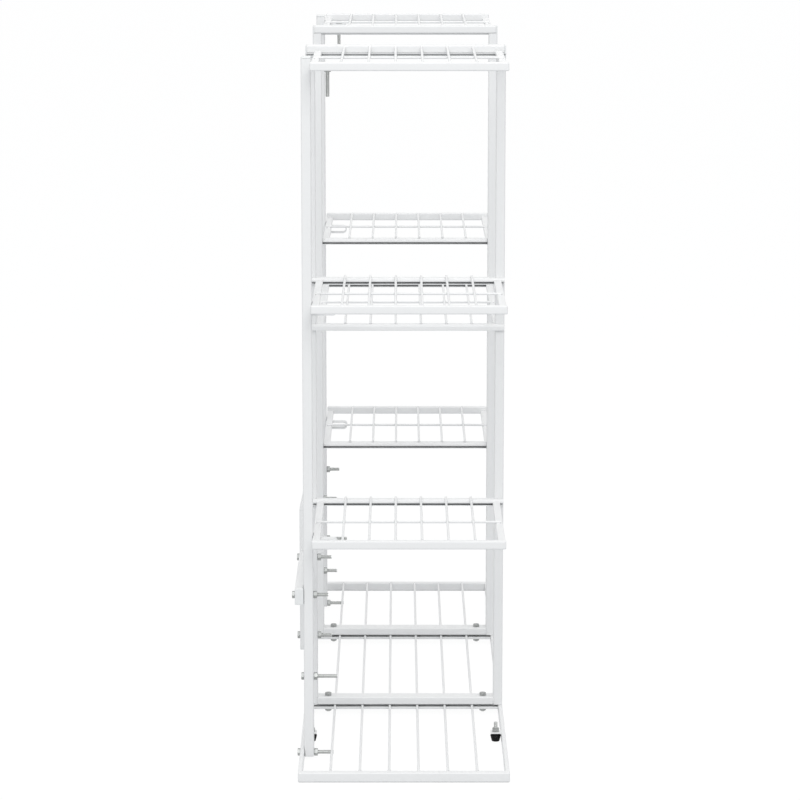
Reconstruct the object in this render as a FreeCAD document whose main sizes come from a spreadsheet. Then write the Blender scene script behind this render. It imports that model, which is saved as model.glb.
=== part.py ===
import FreeCAD, Part
import os
import re

# Ten-tier wire plant shelf in white painted steel. X runs from the back posts to the open front,
# Y along the length from the near end to the far end, Z up. The floor is Z zero and the origin is
# under the middle of the whole stand, bolt heads behind the back braces included.

WIRES_PER_PANEL = 6

# a size written as words follows from the others
SIZES = {
    # platform of three wire panels
    "stand_length": 945, "stand_width": 250, "end_panel_length": 300,
    "platform_rail_height": 12, "end_rail_depth": 10, "side_rail_width": 5,
    "panel_strip_height": 3, "platform_wire_inset": 38.25,
    "platform_wire_pitch": f"(stand_width - 2 * platform_wire_inset) / {WIRES_PER_PANEL - 1}",
    # wires and welds
    "wire_diameter": 3, "weld_sink": 0.3, "weld_reach": 1,
    # upright tubes and the bars between them
    "leg_thickness": 11.5, "tube_depth": 20, "tube_wall": 1.2, "bar_height": 10, "bar_rise": 1,
    "post_inset": 105, "post_floor_gap": 3,
    # bars on the outer side of each frame, with a slot, that carry the shelves
    "shelf_bar_height": 8.2, "shelf_bar_front": 4, "shelf_bar_seat": 6,
    "channel_wall": 0.8, "slot_height": 2.4, "slot_depth": 6,
    # shelves, measured up from the platform's top
    "level_low": 270, "level_middle": 550, "level_top": 832, "level_centre": 492,
    "shelf_front_inset": 4.5, "shelf_end_inset": 42, "shelf_rail": 9, "shelf_rail_height": 10,
    "shelf_width": "stand_width - side_rail_width - leg_thickness - shelf_front_inset",
    "shelf_wire_inset": 36.25, "cross_wire_inset": 2.5,
    "shelf_wire_pitch": f"(shelf_width - 2 * shelf_wire_inset) / {WIRES_PER_PANEL - 1}",
    # folded brackets that carry the shelves on the end posts
    "bracket_length": 29.5, "bracket_height": 10.5, "bracket_width": 12, "bracket_sheet": 1.5,
    "bracket_bolt_reach": 19.5, "bracket_bolt_length": 35,
    # braces behind the posts
    "brace_thickness": 10.5, "tie_height": 20, "bolt_low_rise": 89, "bolt_high_rise": 190,
    "strut_bottom_rise": 74, "strut_top_rise": 252, "pinch_height": 44, "pinch_thickness": 1.5,
    # fasteners
    "bolt_diameter": 5, "bolt_length": 40, "head_width": 8, "head_height": 3.5, "nut_height": 4.5,
    "bolt_clearance": 0.4, "platform_bolt_inset": 13, "platform_bolt_length": 21,
    "platform_bolt_spacing": "stand_width - side_rail_width - 2 * leg_thickness - 2 * platform_bolt_inset",
    "thin_nut_height": 4, "rail_bolt_height": 6,
    # plugs in the open tube ends
    "cap_flange": 2, "cap_plug": 6, "cap_clearance": 0.1,
    # levelling feet
    "foot_inset": 172, "foot_diameter": 13, "foot_neck_diameter": 7.5, "foot_base_diameter": 9.5,
    "foot_pad_height": 7, "foot_height": 10.2, "foot_rail_gap": 0.3, "foot_screw_length": 20,
    "foot_screw_seat": 4, "foot_tab_depth": 14, "foot_tab_reach": 13, "foot_tab_height": 1.5,
    "foot_tab_bottom": 10.5,
    # how far a cutter runs past what it cuts
    "overrun": 2,
}
AXIS_X = FreeCAD.Rotation(FreeCAD.Vector(0, 1, 0), 90)
AXIS_Y = FreeCAD.Rotation(FreeCAD.Vector(1, 0, 0), -90)
AXIS_Z = FreeCAD.Rotation()
UPRIGHT = FreeCAD.Rotation(FreeCAD.Vector(1, 0, 0), 90)

# places that several pieces share, written in the sizes above
TOP = "platform_rail_height"
BACK_FACE = "(side_rail_width - stand_width / 2)"
INNER_FACE = f"({BACK_FACE} + leg_thickness)"
FRONT_LEG = "(stand_width / 2 - leg_thickness)"
BRACE_FACE = f"({BACK_FACE} - brace_thickness)"
HALF_DEPTH = "tube_depth / 2"
PLATFORM_MIDDLE = "(brace_thickness + head_height - side_rail_width) / 2"
BORE = "(bolt_diameter + bolt_clearance) / 2"
WIRE_RADIUS = "wire_diameter / 2"
SHELF_LEFT = INNER_FACE
SHELF_CENTRE = f"({SHELF_LEFT} + shelf_width / 2)"
FRAME_CENTRE = "(side_rail_width / 2)"
FULL_WIDTH = f"(stand_width / 2 - {BACK_FACE})"
TOP_BAR_BOTTOM = f"({TOP} + level_top + bar_rise - bar_height)"
ENDS = ("near", "far")
LEVELS = {"low": "level_low", "middle": "level_middle", "top": "level_top"}

doc = FreeCAD.newDocument("plant_shelf")
sheet = doc.addObject("Spreadsheet::Sheet", "Sizes")
for row, (alias, value) in enumerate(SIZES.items(), start=1):
    sheet.set(f"A{row}", alias)
    sheet.set(f"B{row}", f"={value}" if isinstance(value, str) else str(value))
    sheet.setAlias(f"B{row}", alias)
doc.recompute()
subparts = []


def bind(item, prop, text):
    """Ties a property to the sheet, with the sheet's aliases written as plain words."""
    item.setExpression(prop, re.sub(r"[a-z_]+", lambda found: "Sizes." + found.group(), text))


def place(item, corner, rotation=AXIS_Z):
    """Sets a piece down; its X is given from the platform's middle line."""
    item.Placement = FreeCAD.Placement(FreeCAD.Vector(), rotation)
    bind(item, "Placement.Base.x", f"{PLATFORM_MIDDLE} + {corner[0]}")
    bind(item, "Placement.Base.y", corner[1])
    bind(item, "Placement.Base.z", corner[2])
    return item


def box(corner, size):
    item = doc.addObject("Part::Box", "Box")
    for prop, text in zip(("Length", "Width", "Height"), size):
        bind(item, prop, text)
    return place(item, corner)


def rod(corner, radius, length, rotation):
    item = doc.addObject("Part::Cylinder", "Rod")
    bind(item, "Radius", radius)
    bind(item, "Height", length)
    return place(item, corner, rotation)


def cone(corner, bottom_radius, top_radius, height):
    item = doc.addObject("Part::Cone", "Cone")
    bind(item, "Radius1", bottom_radius)
    bind(item, "Radius2", top_radius)
    bind(item, "Height", height)
    return place(item, corner)


def hexagon(corner, height, rotation):
    item = doc.addObject("Part::Prism", "Hexagon")
    item.Polygon = 6
    bind(item, "Circumradius", "head_width / 3 ^ 0.5")
    bind(item, "Height", height)
    return place(item, corner, rotation)


def fuse(items):
    item = doc.addObject("Part::MultiFuse", "Fuse")
    item.Shapes = items
    return item


def cut(base, tools):
    item = doc.addObject("Part::Cut", "Cut")
    item.Base = base
    item.Tool = tools[0] if len(tools) == 1 else fuse(tools)
    return item


def group(items):
    item = doc.addObject("Part::Compound", "Group")
    item.Links = items
    return item


def subpart(label, item):
    item.Label = label
    subparts.append(item)


def along(end, start, length):
    """Start along Y of a stretch measured from the near end, or mirrored to the far end."""
    if end == "near":
        return f"({start} - stand_length / 2)"
    return f"(stand_length / 2 - ({start}) - ({length}))"


def middle(end, centre):
    return along(end, centre, "0")


def tube(corner, size, run, bores):
    """Rectangular tube, open at both ends along the axis numbered run, with bores through it."""
    inner_corner = [f"{text} + tube_wall" for text in corner]
    inner_size = [f"{text} - 2 * tube_wall" for text in size]
    inner_corner[run] = f"{corner[run]} - overrun"
    inner_size[run] = f"{size[run]} + 2 * overrun"
    return cut(box(corner, size), [box(inner_corner, inner_size)] + bores)


def bore_x(y, z, start, length):
    return rod((f"{start} - overrun", y, z), BORE, f"{length} + 2 * overrun", AXIS_X)


def bore_z(x, y, bottom, length):
    return rod((x, y, f"{bottom} - overrun"), BORE, f"{length} + 2 * overrun", AXIS_Z)


def wire_places(pitch, centre):
    middle_wire = (WIRES_PER_PANEL - 1) / 2
    return [f"({centre} + {number - middle_wire} * {pitch})" for number in range(WIRES_PER_PANEL)]


def joint_line(end):
    return middle(end, "end_panel_length")


def frame_start(end):
    return f"({joint_line(end)} - {HALF_DEPTH})"


def post_middle(end):
    return middle(end, "post_inset")


def bolt_places(end):
    """Middles, heights and head faces of the bolts through one end's post and frame leg."""
    low = f"({TOP} + bolt_low_rise)"
    high = f"({TOP} + bolt_high_rise)"
    return [
        (post_middle(end), "rail_bolt_height", "(0 - stand_width / 2)"),
        (post_middle(end), low, BACK_FACE),
        (post_middle(end), high, BRACE_FACE),
        (joint_line(end), low, BRACE_FACE),
        (joint_line(end), high, BRACE_FACE),
    ]


def platform_bolt_places():
    sides = (f"({FRAME_CENTRE} - platform_bolt_spacing / 2)", f"({FRAME_CENTRE} + platform_bolt_spacing / 2)")
    return [(x, joint_line(end)) for end in ENDS for x in sides]


def panel_strip(start):
    """Flat strip under a frame's foot bar, which the wires are welded to."""
    bottom = f"({TOP} - wire_diameter + weld_sink - panel_strip_height)"
    width = "stand_width"
    return box(("0 - stand_width / 2", start, bottom), (width, HALF_DEPTH, "panel_strip_height"))


def side_rails(start, length):
    size = ("side_rail_width", length, "platform_rail_height")
    left = box(("0 - stand_width / 2", start, "0"), size)
    right = box(("stand_width / 2 - side_rail_width", start, "0"), size)
    return [left, right]


def panel_wires(start, length):
    height = f"{TOP} - {WIRE_RADIUS}"
    places = wire_places("platform_wire_pitch", "0")
    return [rod((x, start, height), WIRE_RADIUS, length, AXIS_Y) for x in places]


def strip_notches(ends):
    places = [(x, y) for x, y in platform_bolt_places() if y in [joint_line(end) for end in ends]]
    return [bore_z(x, y, "0", TOP) for x, y in places]


def foot_middles():
    reach = "(stand_width / 2 - side_rail_width - foot_rail_gap - foot_diameter / 2)"
    return {"left": f"(0 - {reach})", "right": reach}


def foot_tabs():
    start = f"{middle('near', 'foot_inset')} - foot_tab_depth / 2"
    size = ("foot_tab_reach + weld_reach", "foot_tab_depth", "foot_tab_height")
    left = box((f"{BACK_FACE} - weld_reach", start, "foot_tab_bottom"), size)
    right = box((f"0 - {BACK_FACE} - foot_tab_reach", start, "foot_tab_bottom"), size)
    return [left, right]


def build_end_panel(end):
    rail_start = along(end, "0", "end_rail_depth")
    rail = box(("0 - stand_width / 2", rail_start, "0"),
               ("stand_width", "end_rail_depth", "platform_rail_height"))
    wire_length = "(end_panel_length - end_rail_depth + weld_reach)"
    wire_start = along(end, "end_rail_depth - weld_reach", wire_length)
    strip = panel_strip(along(end, f"end_panel_length - {HALF_DEPTH}", HALF_DEPTH))
    pieces = [rail, strip] + side_rails(along(end, "0", "end_panel_length"), "end_panel_length")
    pieces += panel_wires(wire_start, wire_length)
    bores = [bore_x(post_middle(end), "rail_bolt_height", "0 - stand_width / 2", "side_rail_width")]
    bores += strip_notches([end])
    if end == "near":
        pieces += foot_tabs()
        bores += [bore_z(x, middle(end, "foot_inset"), "foot_tab_bottom", "foot_tab_height")
                  for x in foot_middles().values()]
    subpart(f"platform_{end}", cut(fuse(pieces), bores))


def build_middle_panel():
    length = "(stand_length - 2 * end_panel_length)"
    start = joint_line("near")
    strips = [panel_strip(start), panel_strip(f"{start} + {length} - {HALF_DEPTH}")]
    pieces = strips + side_rails(start, length) + panel_wires(start, length)
    subpart("platform_middle", cut(fuse(pieces), strip_notches(ENDS)))


def build_frame(end):
    start = frame_start(end)
    leg_height = f"({TOP_BAR_BOTTOM} - {TOP})"
    bolts = [bore_x(y, z, BACK_FACE, "leg_thickness") for y, z, face in bolt_places(end)[3:]]
    size = ("leg_thickness", "tube_depth", leg_height)
    subpart(f"frame_{end}_back_leg", tube((BACK_FACE, start, TOP), size, 2, bolts))
    subpart(f"frame_{end}_front_leg", tube((FRONT_LEG, start, TOP), size, 2, []))
    top_corner = (f"{BACK_FACE} + cap_flange", start, TOP_BAR_BOTTOM)
    top_size = (f"{FULL_WIDTH} - 2 * cap_flange", "tube_depth", "bar_height")
    subpart(f"frame_{end}_top_bar", tube(top_corner, top_size, 0, []))
    span = f"({FRONT_LEG} - {INNER_FACE})"
    holes = [bore_z(x, y, TOP, "bar_height") for x, y in platform_bolt_places() if y == joint_line(end)]
    foot_size = (span, "tube_depth", "bar_height")
    subpart(f"frame_{end}_foot_bar", tube((INNER_FACE, start, TOP), foot_size, 0, holes))
    bars = [shelf_bar(end, span, level) for level in ("level_low", "level_centre", "level_middle")]
    subpart(f"frame_{end}_shelf_bars", group(bars + [top_strip(end)]))


def outer_start(end, inward, outward):
    """Start along Y of a stretch that reaches inward and outward from a frame's outer face."""
    return along(end, f"end_panel_length - {HALF_DEPTH} - {outward}", f"({inward} + {outward})")


def slot_cutter(y, depth, bottom):
    """Cutter for a slot as wide as the frame, open at the side where y lies."""
    return box((f"{BACK_FACE} - overrun", y, bottom), (f"{FULL_WIDTH} + 2 * overrun", depth, "slot_height"))


def shelf_bar(end, span, level):
    """Bar on a frame's outer side: across the legs' outer faces and between the legs, with a slot."""
    bottom = f"({TOP} + {level} - wire_diameter - shelf_bar_height)"
    front = box((BACK_FACE, outer_start(end, "0", "shelf_bar_front"), bottom),
                (FULL_WIDTH, "shelf_bar_front", "shelf_bar_height"))
    seat = box((INNER_FACE, outer_start(end, "shelf_bar_seat", "0"), bottom),
               (span, "shelf_bar_seat", "shelf_bar_height"))
    first = outer_start(end, "shelf_bar_seat", "shelf_bar_front")
    slot_start = f"{first} - overrun"
    if end == "near" and level == "level_centre":
        slot_start = f"{first} + shelf_bar_front + shelf_bar_seat - slot_depth"
    slot = slot_cutter(slot_start, "slot_depth + overrun", f"{bottom} + channel_wall")
    return cut(fuse([front, seat]), [slot])


def top_strip(end):
    """Folded strip below a top bar, on the legs' outer faces, open to the outside."""
    bottom = f"({TOP_BAR_BOTTOM} - slot_height - channel_wall)"
    start = outer_start(end, "0", "shelf_bar_front")
    outer = box((BACK_FACE, start, bottom), (FULL_WIDTH, "shelf_bar_front", "slot_height + 2 * channel_wall"))
    slot_start = f"{start} - overrun" if end == "near" else f"{start} + channel_wall"
    return cut(outer, [slot_cutter(slot_start, "shelf_bar_front - channel_wall + overrun", f"{bottom} + channel_wall")])


def build_post(end):
    start = f"({post_middle(end)} - {HALF_DEPTH})"
    height = f"({TOP} + level_top - post_floor_gap)"
    bolts = [bore_x(y, z, BACK_FACE, "leg_thickness") for y, z, face in bolt_places(end)[:3]]
    size = ("leg_thickness", "tube_depth", height)
    subpart(f"post_{end}", tube((BACK_FACE, start, "post_floor_gap"), size, 2, bolts))


def shelf_wires(start, length, height):
    places = wire_places("shelf_wire_pitch", SHELF_CENTRE)
    return [rod((x, start, height), WIRE_RADIUS, length, AXIS_Y) for x in places]


def cross_wire(y, height):
    """Wire across a shelf, on its side rails and under its long wires."""
    start = f"{SHELF_LEFT} + cross_wire_inset"
    length = "shelf_width - 2 * cross_wire_inset"
    return rod((start, y, f"{height} - wire_diameter + weld_sink"), WIRE_RADIUS, length, AXIS_X)


def shelf_sides(start, length, bottom):
    size = ("shelf_rail", length, "(shelf_rail_height - 2 * wire_diameter + 2 * weld_sink)")
    return [box((x, start, bottom), size) for x in (SHELF_LEFT, f"{SHELF_LEFT} + shelf_width - shelf_rail")]


def build_end_shelf(end, name, level):
    """Shelf with a rail at its free end, whose wires run over the frame's bar or end at its top bar."""
    bottom = f"({TOP} + {level} - shelf_rail_height)"
    height = f"({TOP} + {level} - {WIRE_RADIUS})"
    length = f"(end_panel_length - {HALF_DEPTH} - shelf_bar_front - shelf_end_inset)"
    rail = box((SHELF_LEFT, along(end, "shelf_end_inset", "shelf_rail"), bottom),
               ("shelf_width", "shelf_rail", "shelf_rail_height"))
    sides = shelf_sides(along(end, "shelf_end_inset", length), length, bottom)
    overlap = "0" if name == "top" else "(shelf_bar_seat - wire_diameter)"
    wire_length = f"({length} - shelf_rail + weld_reach + shelf_bar_front + {overlap})"
    wires = shelf_wires(along(end, "shelf_end_inset + shelf_rail - weld_reach", wire_length), wire_length, height)
    crossing = cross_wire(middle(end, f"(shelf_end_inset + {length} / 2)"), height)
    subpart(f"shelf_{end}_{name}", fuse([rail, crossing] + sides + wires))


def build_centre_shelf():
    """Shelf between the two frames, whose wires run over a bar of each."""
    bottom = f"({TOP} + level_centre - shelf_rail_height)"
    height = f"({TOP} + level_centre - {WIRE_RADIUS})"
    start = f"({joint_line('near')} + {HALF_DEPTH})"
    length = "(stand_length - 2 * end_panel_length - tube_depth)"
    sides = shelf_sides(start, length, bottom)
    overhang = "(tube_depth + shelf_bar_front - wire_diameter)"
    wires = shelf_wires(f"{start} - {overhang}", f"{length} + 2 * {overhang}", height)
    subpart("shelf_centre", fuse([cross_wire("0", height)] + sides + wires))


def bracket(end, level):
    """Strap folded back on itself with a round nose, fixed to the post under a shelf's side rail."""
    top = f"({TOP} + {level} - shelf_rail_height)"
    start = f"{post_middle(end)} - bracket_width / 2"
    shells = []
    for inset, run in (("0", "0"), ("bracket_sheet", "overrun")):
        radius = f"(bracket_height / 2 - {inset})"
        axis_x = f"({INNER_FACE} + bracket_length - bracket_height / 2)"
        y = f"{start} - {run}"
        width = f"bracket_width + 2 * {run}"
        flat = box((f"{INNER_FACE} - {run}", y, f"{top} - bracket_height + {inset}"),
                   (f"{axis_x} - {INNER_FACE} + {run}", width, f"2 * {radius}"))
        nose = rod((axis_x, y, f"{top} - bracket_height / 2"), radius, width, AXIS_Y)
        shells.append(fuse([flat, nose]))
    return cut(shells[0], [shells[1]])


def top_tab(end):
    """Flat tab with a round end under a top shelf, which its bolt passes through."""
    bottom = f"({TOP} + level_top - shelf_rail_height - bracket_sheet)"
    flat = box((INNER_FACE, f"{post_middle(end)} - bracket_width / 2", bottom),
               ("bracket_length - bracket_width / 2", "bracket_width", "bracket_sheet"))
    nose_x = f"({INNER_FACE} + bracket_length - bracket_width / 2)"
    nose = rod((nose_x, post_middle(end), bottom), "bracket_width / 2", "bracket_sheet", AXIS_Z)
    return cut(fuse([flat, nose]), [bore_z(bracket_bolt_x(), post_middle(end), bottom, "bracket_sheet")])


def bracket_bolt_x():
    return f"({INNER_FACE} + bracket_bolt_reach)"


def build_braces(end):
    strut_start = frame_start(end)
    strut_size = ("brace_thickness", "tube_depth", "strut_top_rise - strut_bottom_rise")
    bolts = [bore_x(y, z, BRACE_FACE, "brace_thickness") for y, z, face in bolt_places(end)]
    strut_corner = (BRACE_FACE, strut_start, f"{TOP} + strut_bottom_rise")
    strut = tube(strut_corner, strut_size, 2, bolts[3:])
    subpart(f"back_strut_{end}", fuse([strut, pinched_end(strut_start)]))
    tie_length = "(end_panel_length - post_inset)"
    tie_start = along(end, f"post_inset - {HALF_DEPTH}", tie_length)
    tie_corner = (BRACE_FACE, tie_start, f"{TOP} + bolt_high_rise - tie_height / 2")
    subpart(f"back_tie_{end}", tube(tie_corner, ("brace_thickness", tie_length, "tie_height"), 1, [bolts[2]]))


def pinched_end(start):
    """Top of a strut, pinched flat against the leg."""
    item = doc.addObject("Part::Wedge", "Pinch")
    for prop in ("Xmin", "Ymin", "Zmin", "Z2min"):
        bind(item, prop, "0")
    for prop in ("Zmax", "Z2max"):
        bind(item, prop, "tube_depth")
    for prop in ("Xmax", "X2max"):
        bind(item, prop, "brace_thickness")
    bind(item, "X2min", "brace_thickness - pinch_thickness")
    bind(item, "Ymax", "pinch_height")
    return place(item, (BRACE_FACE, f"{start} + tube_depth", f"{TOP} + strut_top_rise"), UPRIGHT)


def cap(corner, size, run, side):
    """Plug for an open tube end: a flange on the end face and a tongue inside the tube."""
    flange_corner = list(corner)
    flange_size = list(size)
    flange_size[run] = "cap_flange"
    plug_corner = [f"{text} + tube_wall + cap_clearance" for text in corner]
    plug_size = [f"{text} - 2 * tube_wall - 2 * cap_clearance" for text in size]
    plug_size[run] = "cap_plug + weld_reach"
    if side > 0:
        plug_corner[run] = f"{corner[run]} - cap_plug"
    else:
        flange_corner[run] = f"{corner[run]} - cap_flange"
        plug_corner[run] = f"{corner[run]} - weld_reach"
    return fuse([box(flange_corner, flange_size), box(plug_corner, plug_size)])


def build_caps():
    caps = []
    for end in ENDS:
        post = f"({post_middle(end)} - {HALF_DEPTH})"
        upright = ("leg_thickness", "tube_depth", "cap_flange")
        strut = ("brace_thickness", "tube_depth", "cap_flange")
        tie = ("brace_thickness", "cap_flange", "tie_height")
        caps.append(cap((BACK_FACE, post, f"({TOP} + level_top)"), upright, 2, 1))
        bar = ("cap_flange", "tube_depth", "bar_height")
        caps.append(cap((f"({BACK_FACE} + cap_flange)", frame_start(end), TOP_BAR_BOTTOM), bar, 0, -1))
        caps.append(cap(("(stand_width / 2 - cap_flange)", frame_start(end), TOP_BAR_BOTTOM), bar, 0, 1))
        caps.append(cap((BRACE_FACE, frame_start(end), f"({TOP} + strut_bottom_rise)"), strut, 2, -1))
        tie_end = middle(end, f"(post_inset - {HALF_DEPTH})")
        tie_corner = (BRACE_FACE, tie_end, f"({TOP} + bolt_high_rise - tie_height / 2)")
        caps.append(cap(tie_corner, tie, 1, -1 if end == "near" else 1))
    subpart("tube_caps", group(caps))


def hex_bolt(corner, length, rotation, head_corner):
    shank = rod(corner, "bolt_diameter / 2", length, rotation)
    return fuse([shank, hexagon(head_corner, "head_height", rotation)])


def hex_nut(corner, height, rotation, start):
    """Nut with its bore; start is the corner of the bore's cutter, one overrun before the nut."""
    drill = rod(start, BORE, f"{height} + 2 * overrun", rotation)
    return cut(hexagon(corner, height, rotation), [drill])


def build_post_bolts():
    bolts = []
    nuts = []
    for end in ENDS:
        for y, z, face in bolt_places(end):
            bolts.append(hex_bolt((face, y, z), "bolt_length", AXIS_X, (f"{face} - head_height", y, z)))
            nuts.append(hex_nut((INNER_FACE, y, z), "nut_height", AXIS_X, (f"{INNER_FACE} - overrun", y, z)))
    subpart("post_bolts", group(bolts))
    subpart("post_nuts", group(nuts))


def build_platform_bolts():
    bolts = []
    nuts = []
    head = f"({TOP} + bar_height)"
    bottom = f"({head} - platform_bolt_length)"
    under = f"({TOP} - wire_diameter + weld_sink - panel_strip_height - thin_nut_height)"
    for x, y in platform_bolt_places():
        bolts.append(hex_bolt((x, y, bottom), "platform_bolt_length", AXIS_Z, (x, y, head)))
        nuts.append(hex_nut((x, y, under), "thin_nut_height", AXIS_Z, (x, y, f"{under} - overrun")))
    subpart("platform_bolts", group(bolts))
    subpart("platform_nuts", group(nuts))


def build_bracket_bolts():
    bolts = []
    nuts = []
    head = f"({TOP} + level_top - shelf_rail_height)"
    under = f"({head} - bracket_sheet - nut_height)"
    for end in ENDS:
        x = bracket_bolt_x()
        y = post_middle(end)
        bottom = f"{head} - bracket_bolt_length"
        bolts.append(hex_bolt((x, y, bottom), "bracket_bolt_length", AXIS_Z, (x, y, head)))
        nuts.append(hex_nut((x, y, under), "nut_height", AXIS_Z, (x, y, f"{under} - overrun")))
    subpart("bracket_bolts", group(bolts))
    subpart("bracket_nuts", group(nuts))


def build_feet():
    y = middle("near", "foot_inset")
    nuts = []
    for side, x in foot_middles().items():
        pad = cone((x, y, "0"), "foot_base_diameter / 2", "foot_diameter / 2", "foot_pad_height")
        dome = cone((x, y, "foot_pad_height"), "foot_diameter / 2", "foot_neck_diameter / 2",
                    "foot_height - foot_pad_height")
        seat = rod((x, y, "foot_screw_seat"), "bolt_diameter / 2", "foot_height", AXIS_Z)
        subpart(f"foot_{side}_pad", cut(fuse([pad, dome]), [seat]))
        screw = rod((x, y, "foot_screw_seat"), "bolt_diameter / 2", "foot_screw_length", AXIS_Z)
        subpart(f"foot_{side}_screw", group([screw]))
        seat_height = "(foot_tab_bottom + foot_tab_height)"
        nuts.append(hex_nut((x, y, seat_height), "nut_height", AXIS_Z, (x, y, f"{seat_height} - overrun")))
    subpart("foot_nuts", group(nuts))


for end_name in ENDS:
    build_end_panel(end_name)
    build_frame(end_name)
    build_post(end_name)
    build_braces(end_name)
    for shelf_name, shelf_level in LEVELS.items():
        build_end_shelf(end_name, shelf_name, shelf_level)
    folded = [bracket(end_name, level) for level in ("level_low", "level_middle")]
    subpart(f"shelf_brackets_{end_name}", group(folded + [top_tab(end_name)]))
build_middle_panel()
build_centre_shelf()
build_caps()
build_post_bolts()
build_platform_bolts()
build_bracket_bolts()
build_feet()
doc.recompute()

failed = [item.Label for item in doc.Objects if "Invalid" in item.State or "Error" in item.State]
failed += [item.Label for item in subparts if item.Shape.isNull() or not item.Shape.isValid()]
if failed:
    raise RuntimeError("these objects failed: " + ", ".join(failed))
os.makedirs("parts", exist_ok=True)
for item in subparts:
    item.Shape.exportStep(f"parts/{item.Label}.step")
print(len(subparts), "sub-parts written")
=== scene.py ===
"""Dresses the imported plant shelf: painted tube frames, welded wire shelves, zinc bolts and rubber feet."""
import math

import bmesh
import bpy
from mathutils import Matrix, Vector


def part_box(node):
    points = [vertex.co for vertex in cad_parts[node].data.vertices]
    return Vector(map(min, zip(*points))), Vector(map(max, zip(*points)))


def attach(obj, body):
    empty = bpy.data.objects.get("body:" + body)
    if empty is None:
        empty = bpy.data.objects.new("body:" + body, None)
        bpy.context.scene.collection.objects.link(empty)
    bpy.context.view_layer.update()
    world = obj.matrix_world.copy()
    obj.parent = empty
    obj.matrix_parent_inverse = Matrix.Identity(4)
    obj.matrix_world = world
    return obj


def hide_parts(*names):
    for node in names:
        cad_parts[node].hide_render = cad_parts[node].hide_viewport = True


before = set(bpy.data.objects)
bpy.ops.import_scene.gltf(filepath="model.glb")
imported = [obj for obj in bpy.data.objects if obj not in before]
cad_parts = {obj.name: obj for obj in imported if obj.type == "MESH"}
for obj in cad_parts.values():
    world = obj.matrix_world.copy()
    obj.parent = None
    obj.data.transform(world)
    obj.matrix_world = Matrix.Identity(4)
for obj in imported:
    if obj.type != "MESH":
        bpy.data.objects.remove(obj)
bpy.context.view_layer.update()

bl_info = {
    "name": "Plant shelf",
    "version": (1, 0, 0),
    "blender": (4, 5, 0),
    "location": "View3D > Sidebar > Plant shelf",
    "description": "Builds the visible pieces of a white tiered plant shelf around its packed solids",
    "category": "Object",
}

MM = 0.001
ENDS = ("near", "far")
LEVELS = ("low", "middle", "top")
SIDES = ("left", "right")
WIRES = 6
# directions of the stand: from its back to its front, away from its near end, and up
ACROSS = Vector((1, 0, 0))
AWAY = Vector((0, 1, 0))
UP = Vector((0, 0, 1))
# numbers of the axes that tubes and folded sheets run along
RUN_X, RUN_Y, RUN_Z = range(3)

# points round a wire, a weld bead, a thread, a bolt head and a foot
WIRE_SIDES = 14
BEAD_SIDES = 8
THREAD_SIDES = 18
HEAD_SIDES = 36
FOOT_SIDES = 36
# steps round a bar's edge, a tube's corner, a bar's nose, a fold, a bracket's nose and a tab's end
EDGE_STEPS = 3
CORNER_STEPS = 4
NOSE_STEPS = 6
FOLD_STEPS = 6
BRACKET_STEPS = 12
TAB_STEPS = 16
# largest share of a thickness that its edge rounding takes, and the share at a tube's or tab's end
EDGE_LIMIT = 0.45
LIP = 0.25
# edges of a panel's side rails, its joint strips and a shelf's side rails, as shares of the rails' corner
PANEL_EDGE = 0.7
STRIP_EDGE = 0.35
SHELF_EDGE = 0.75
# smallest inner corner of a tube, as a share of its outer one
INNER_CORNER = 0.3
# radius of the round face of a head or nut, as a share of its width, and its corners' slope in degrees
HEAD_FACE = 0.475
HEAD_SLOPE = 30
# edges that turn by more degrees than this stay sharp
SHARP_TURN = 38
SHARP_THREAD_TURN = 28
# points or edges closer than this are one
SAME_POINT = 0.01 * MM
SAME_THREAD_POINT = 0.001 * MM
FLAT_THREAD_EDGE = 0.0001 * MM
# what the folds of a bracket's nose lack to a full half round
NOSE_FLAT = 0.001 * MM

# how far a wire, a tab or a plug reaches into what holds it, and a thread into its head
HOLD = 1 * MM
HEAD_HOLD = 0.5 * MM
# how far a weld stops short of a piece's ends
WELD_STOP = 1 * MM
# weld beads, as shares of the largest one
FINE_WELD = 0.55
SHEET_WELD = 0.6
TAB_WELD = 0.7
CORNER_WELD = 0.8
SHELF_WELD = 0.9
# where beads lie beside a wire, as shares of its radius, and start beside a joint, of the strip's depth
STRIP_FLANK = 0.75
RAIL_FLANK = 0.8
WIRE_FLANK = 0.9
STRIP_GAP = 0.15
# a bead's fewest steps, its tapered tips and its ripples, as shares of its radius; the turn is in radians
BEAD_STEPS = 6
BEAD_TIP = 0.35
BEAD_TAPER = 5
RIPPLE = 0.1
RIPPLE_PITCH = 0.45
RIPPLE_TURN = 2.1
# clearances: shelf bar between the legs, plug in a tube, nut on a thread, screw in a foot
BAR_DROP = 0.05 * MM
PLUG_ROOM = 0.1 * MM
NUT_ROOM = 0.2 * MM
SCREW_ROOM = 0.05 * MM
# edges of a foot's tab, a cap, its plug and a nut's bore
TAB_EDGE = 0.5 * MM
CAP_EDGE = 0.8 * MM
PLUG_EDGE = 0.6 * MM
BORE_EDGE = 0.4 * MM
# width and height of a foot's outline, as shares of its largest radius and its height
FOOT_SHARES = ((0.66, 0), (0.72, 0.02), (0.76, 0.08), (0.86, 0.34), (0.96, 0.58), (0.99, 0.65), (1, 0.69),
               (0.985, 0.74), (0.93, 0.79), (0.8, 0.86), (0.68, 0.92), (0.6, 0.97), (0.56, 1))
# how deep a foot's screw sits, as the share of its height that is left below
FOOT_FLOOR = 0.55
# height and thickness of a strut's pinched end, as shares of its length and of its tube
PINCH_SHARES = ((0, 1), (0.04, 0.985), (0.5, 0.57), (0.96, 0.16), (1, 0.143))
# swell and height of the weld fillet round a wire's end, as shares of its flare
COLLAR_SHARES = ((1, -0.4), (1, 0), (0.42, 0.2), (0.14, 0.55), (0.03, 1))

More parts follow.
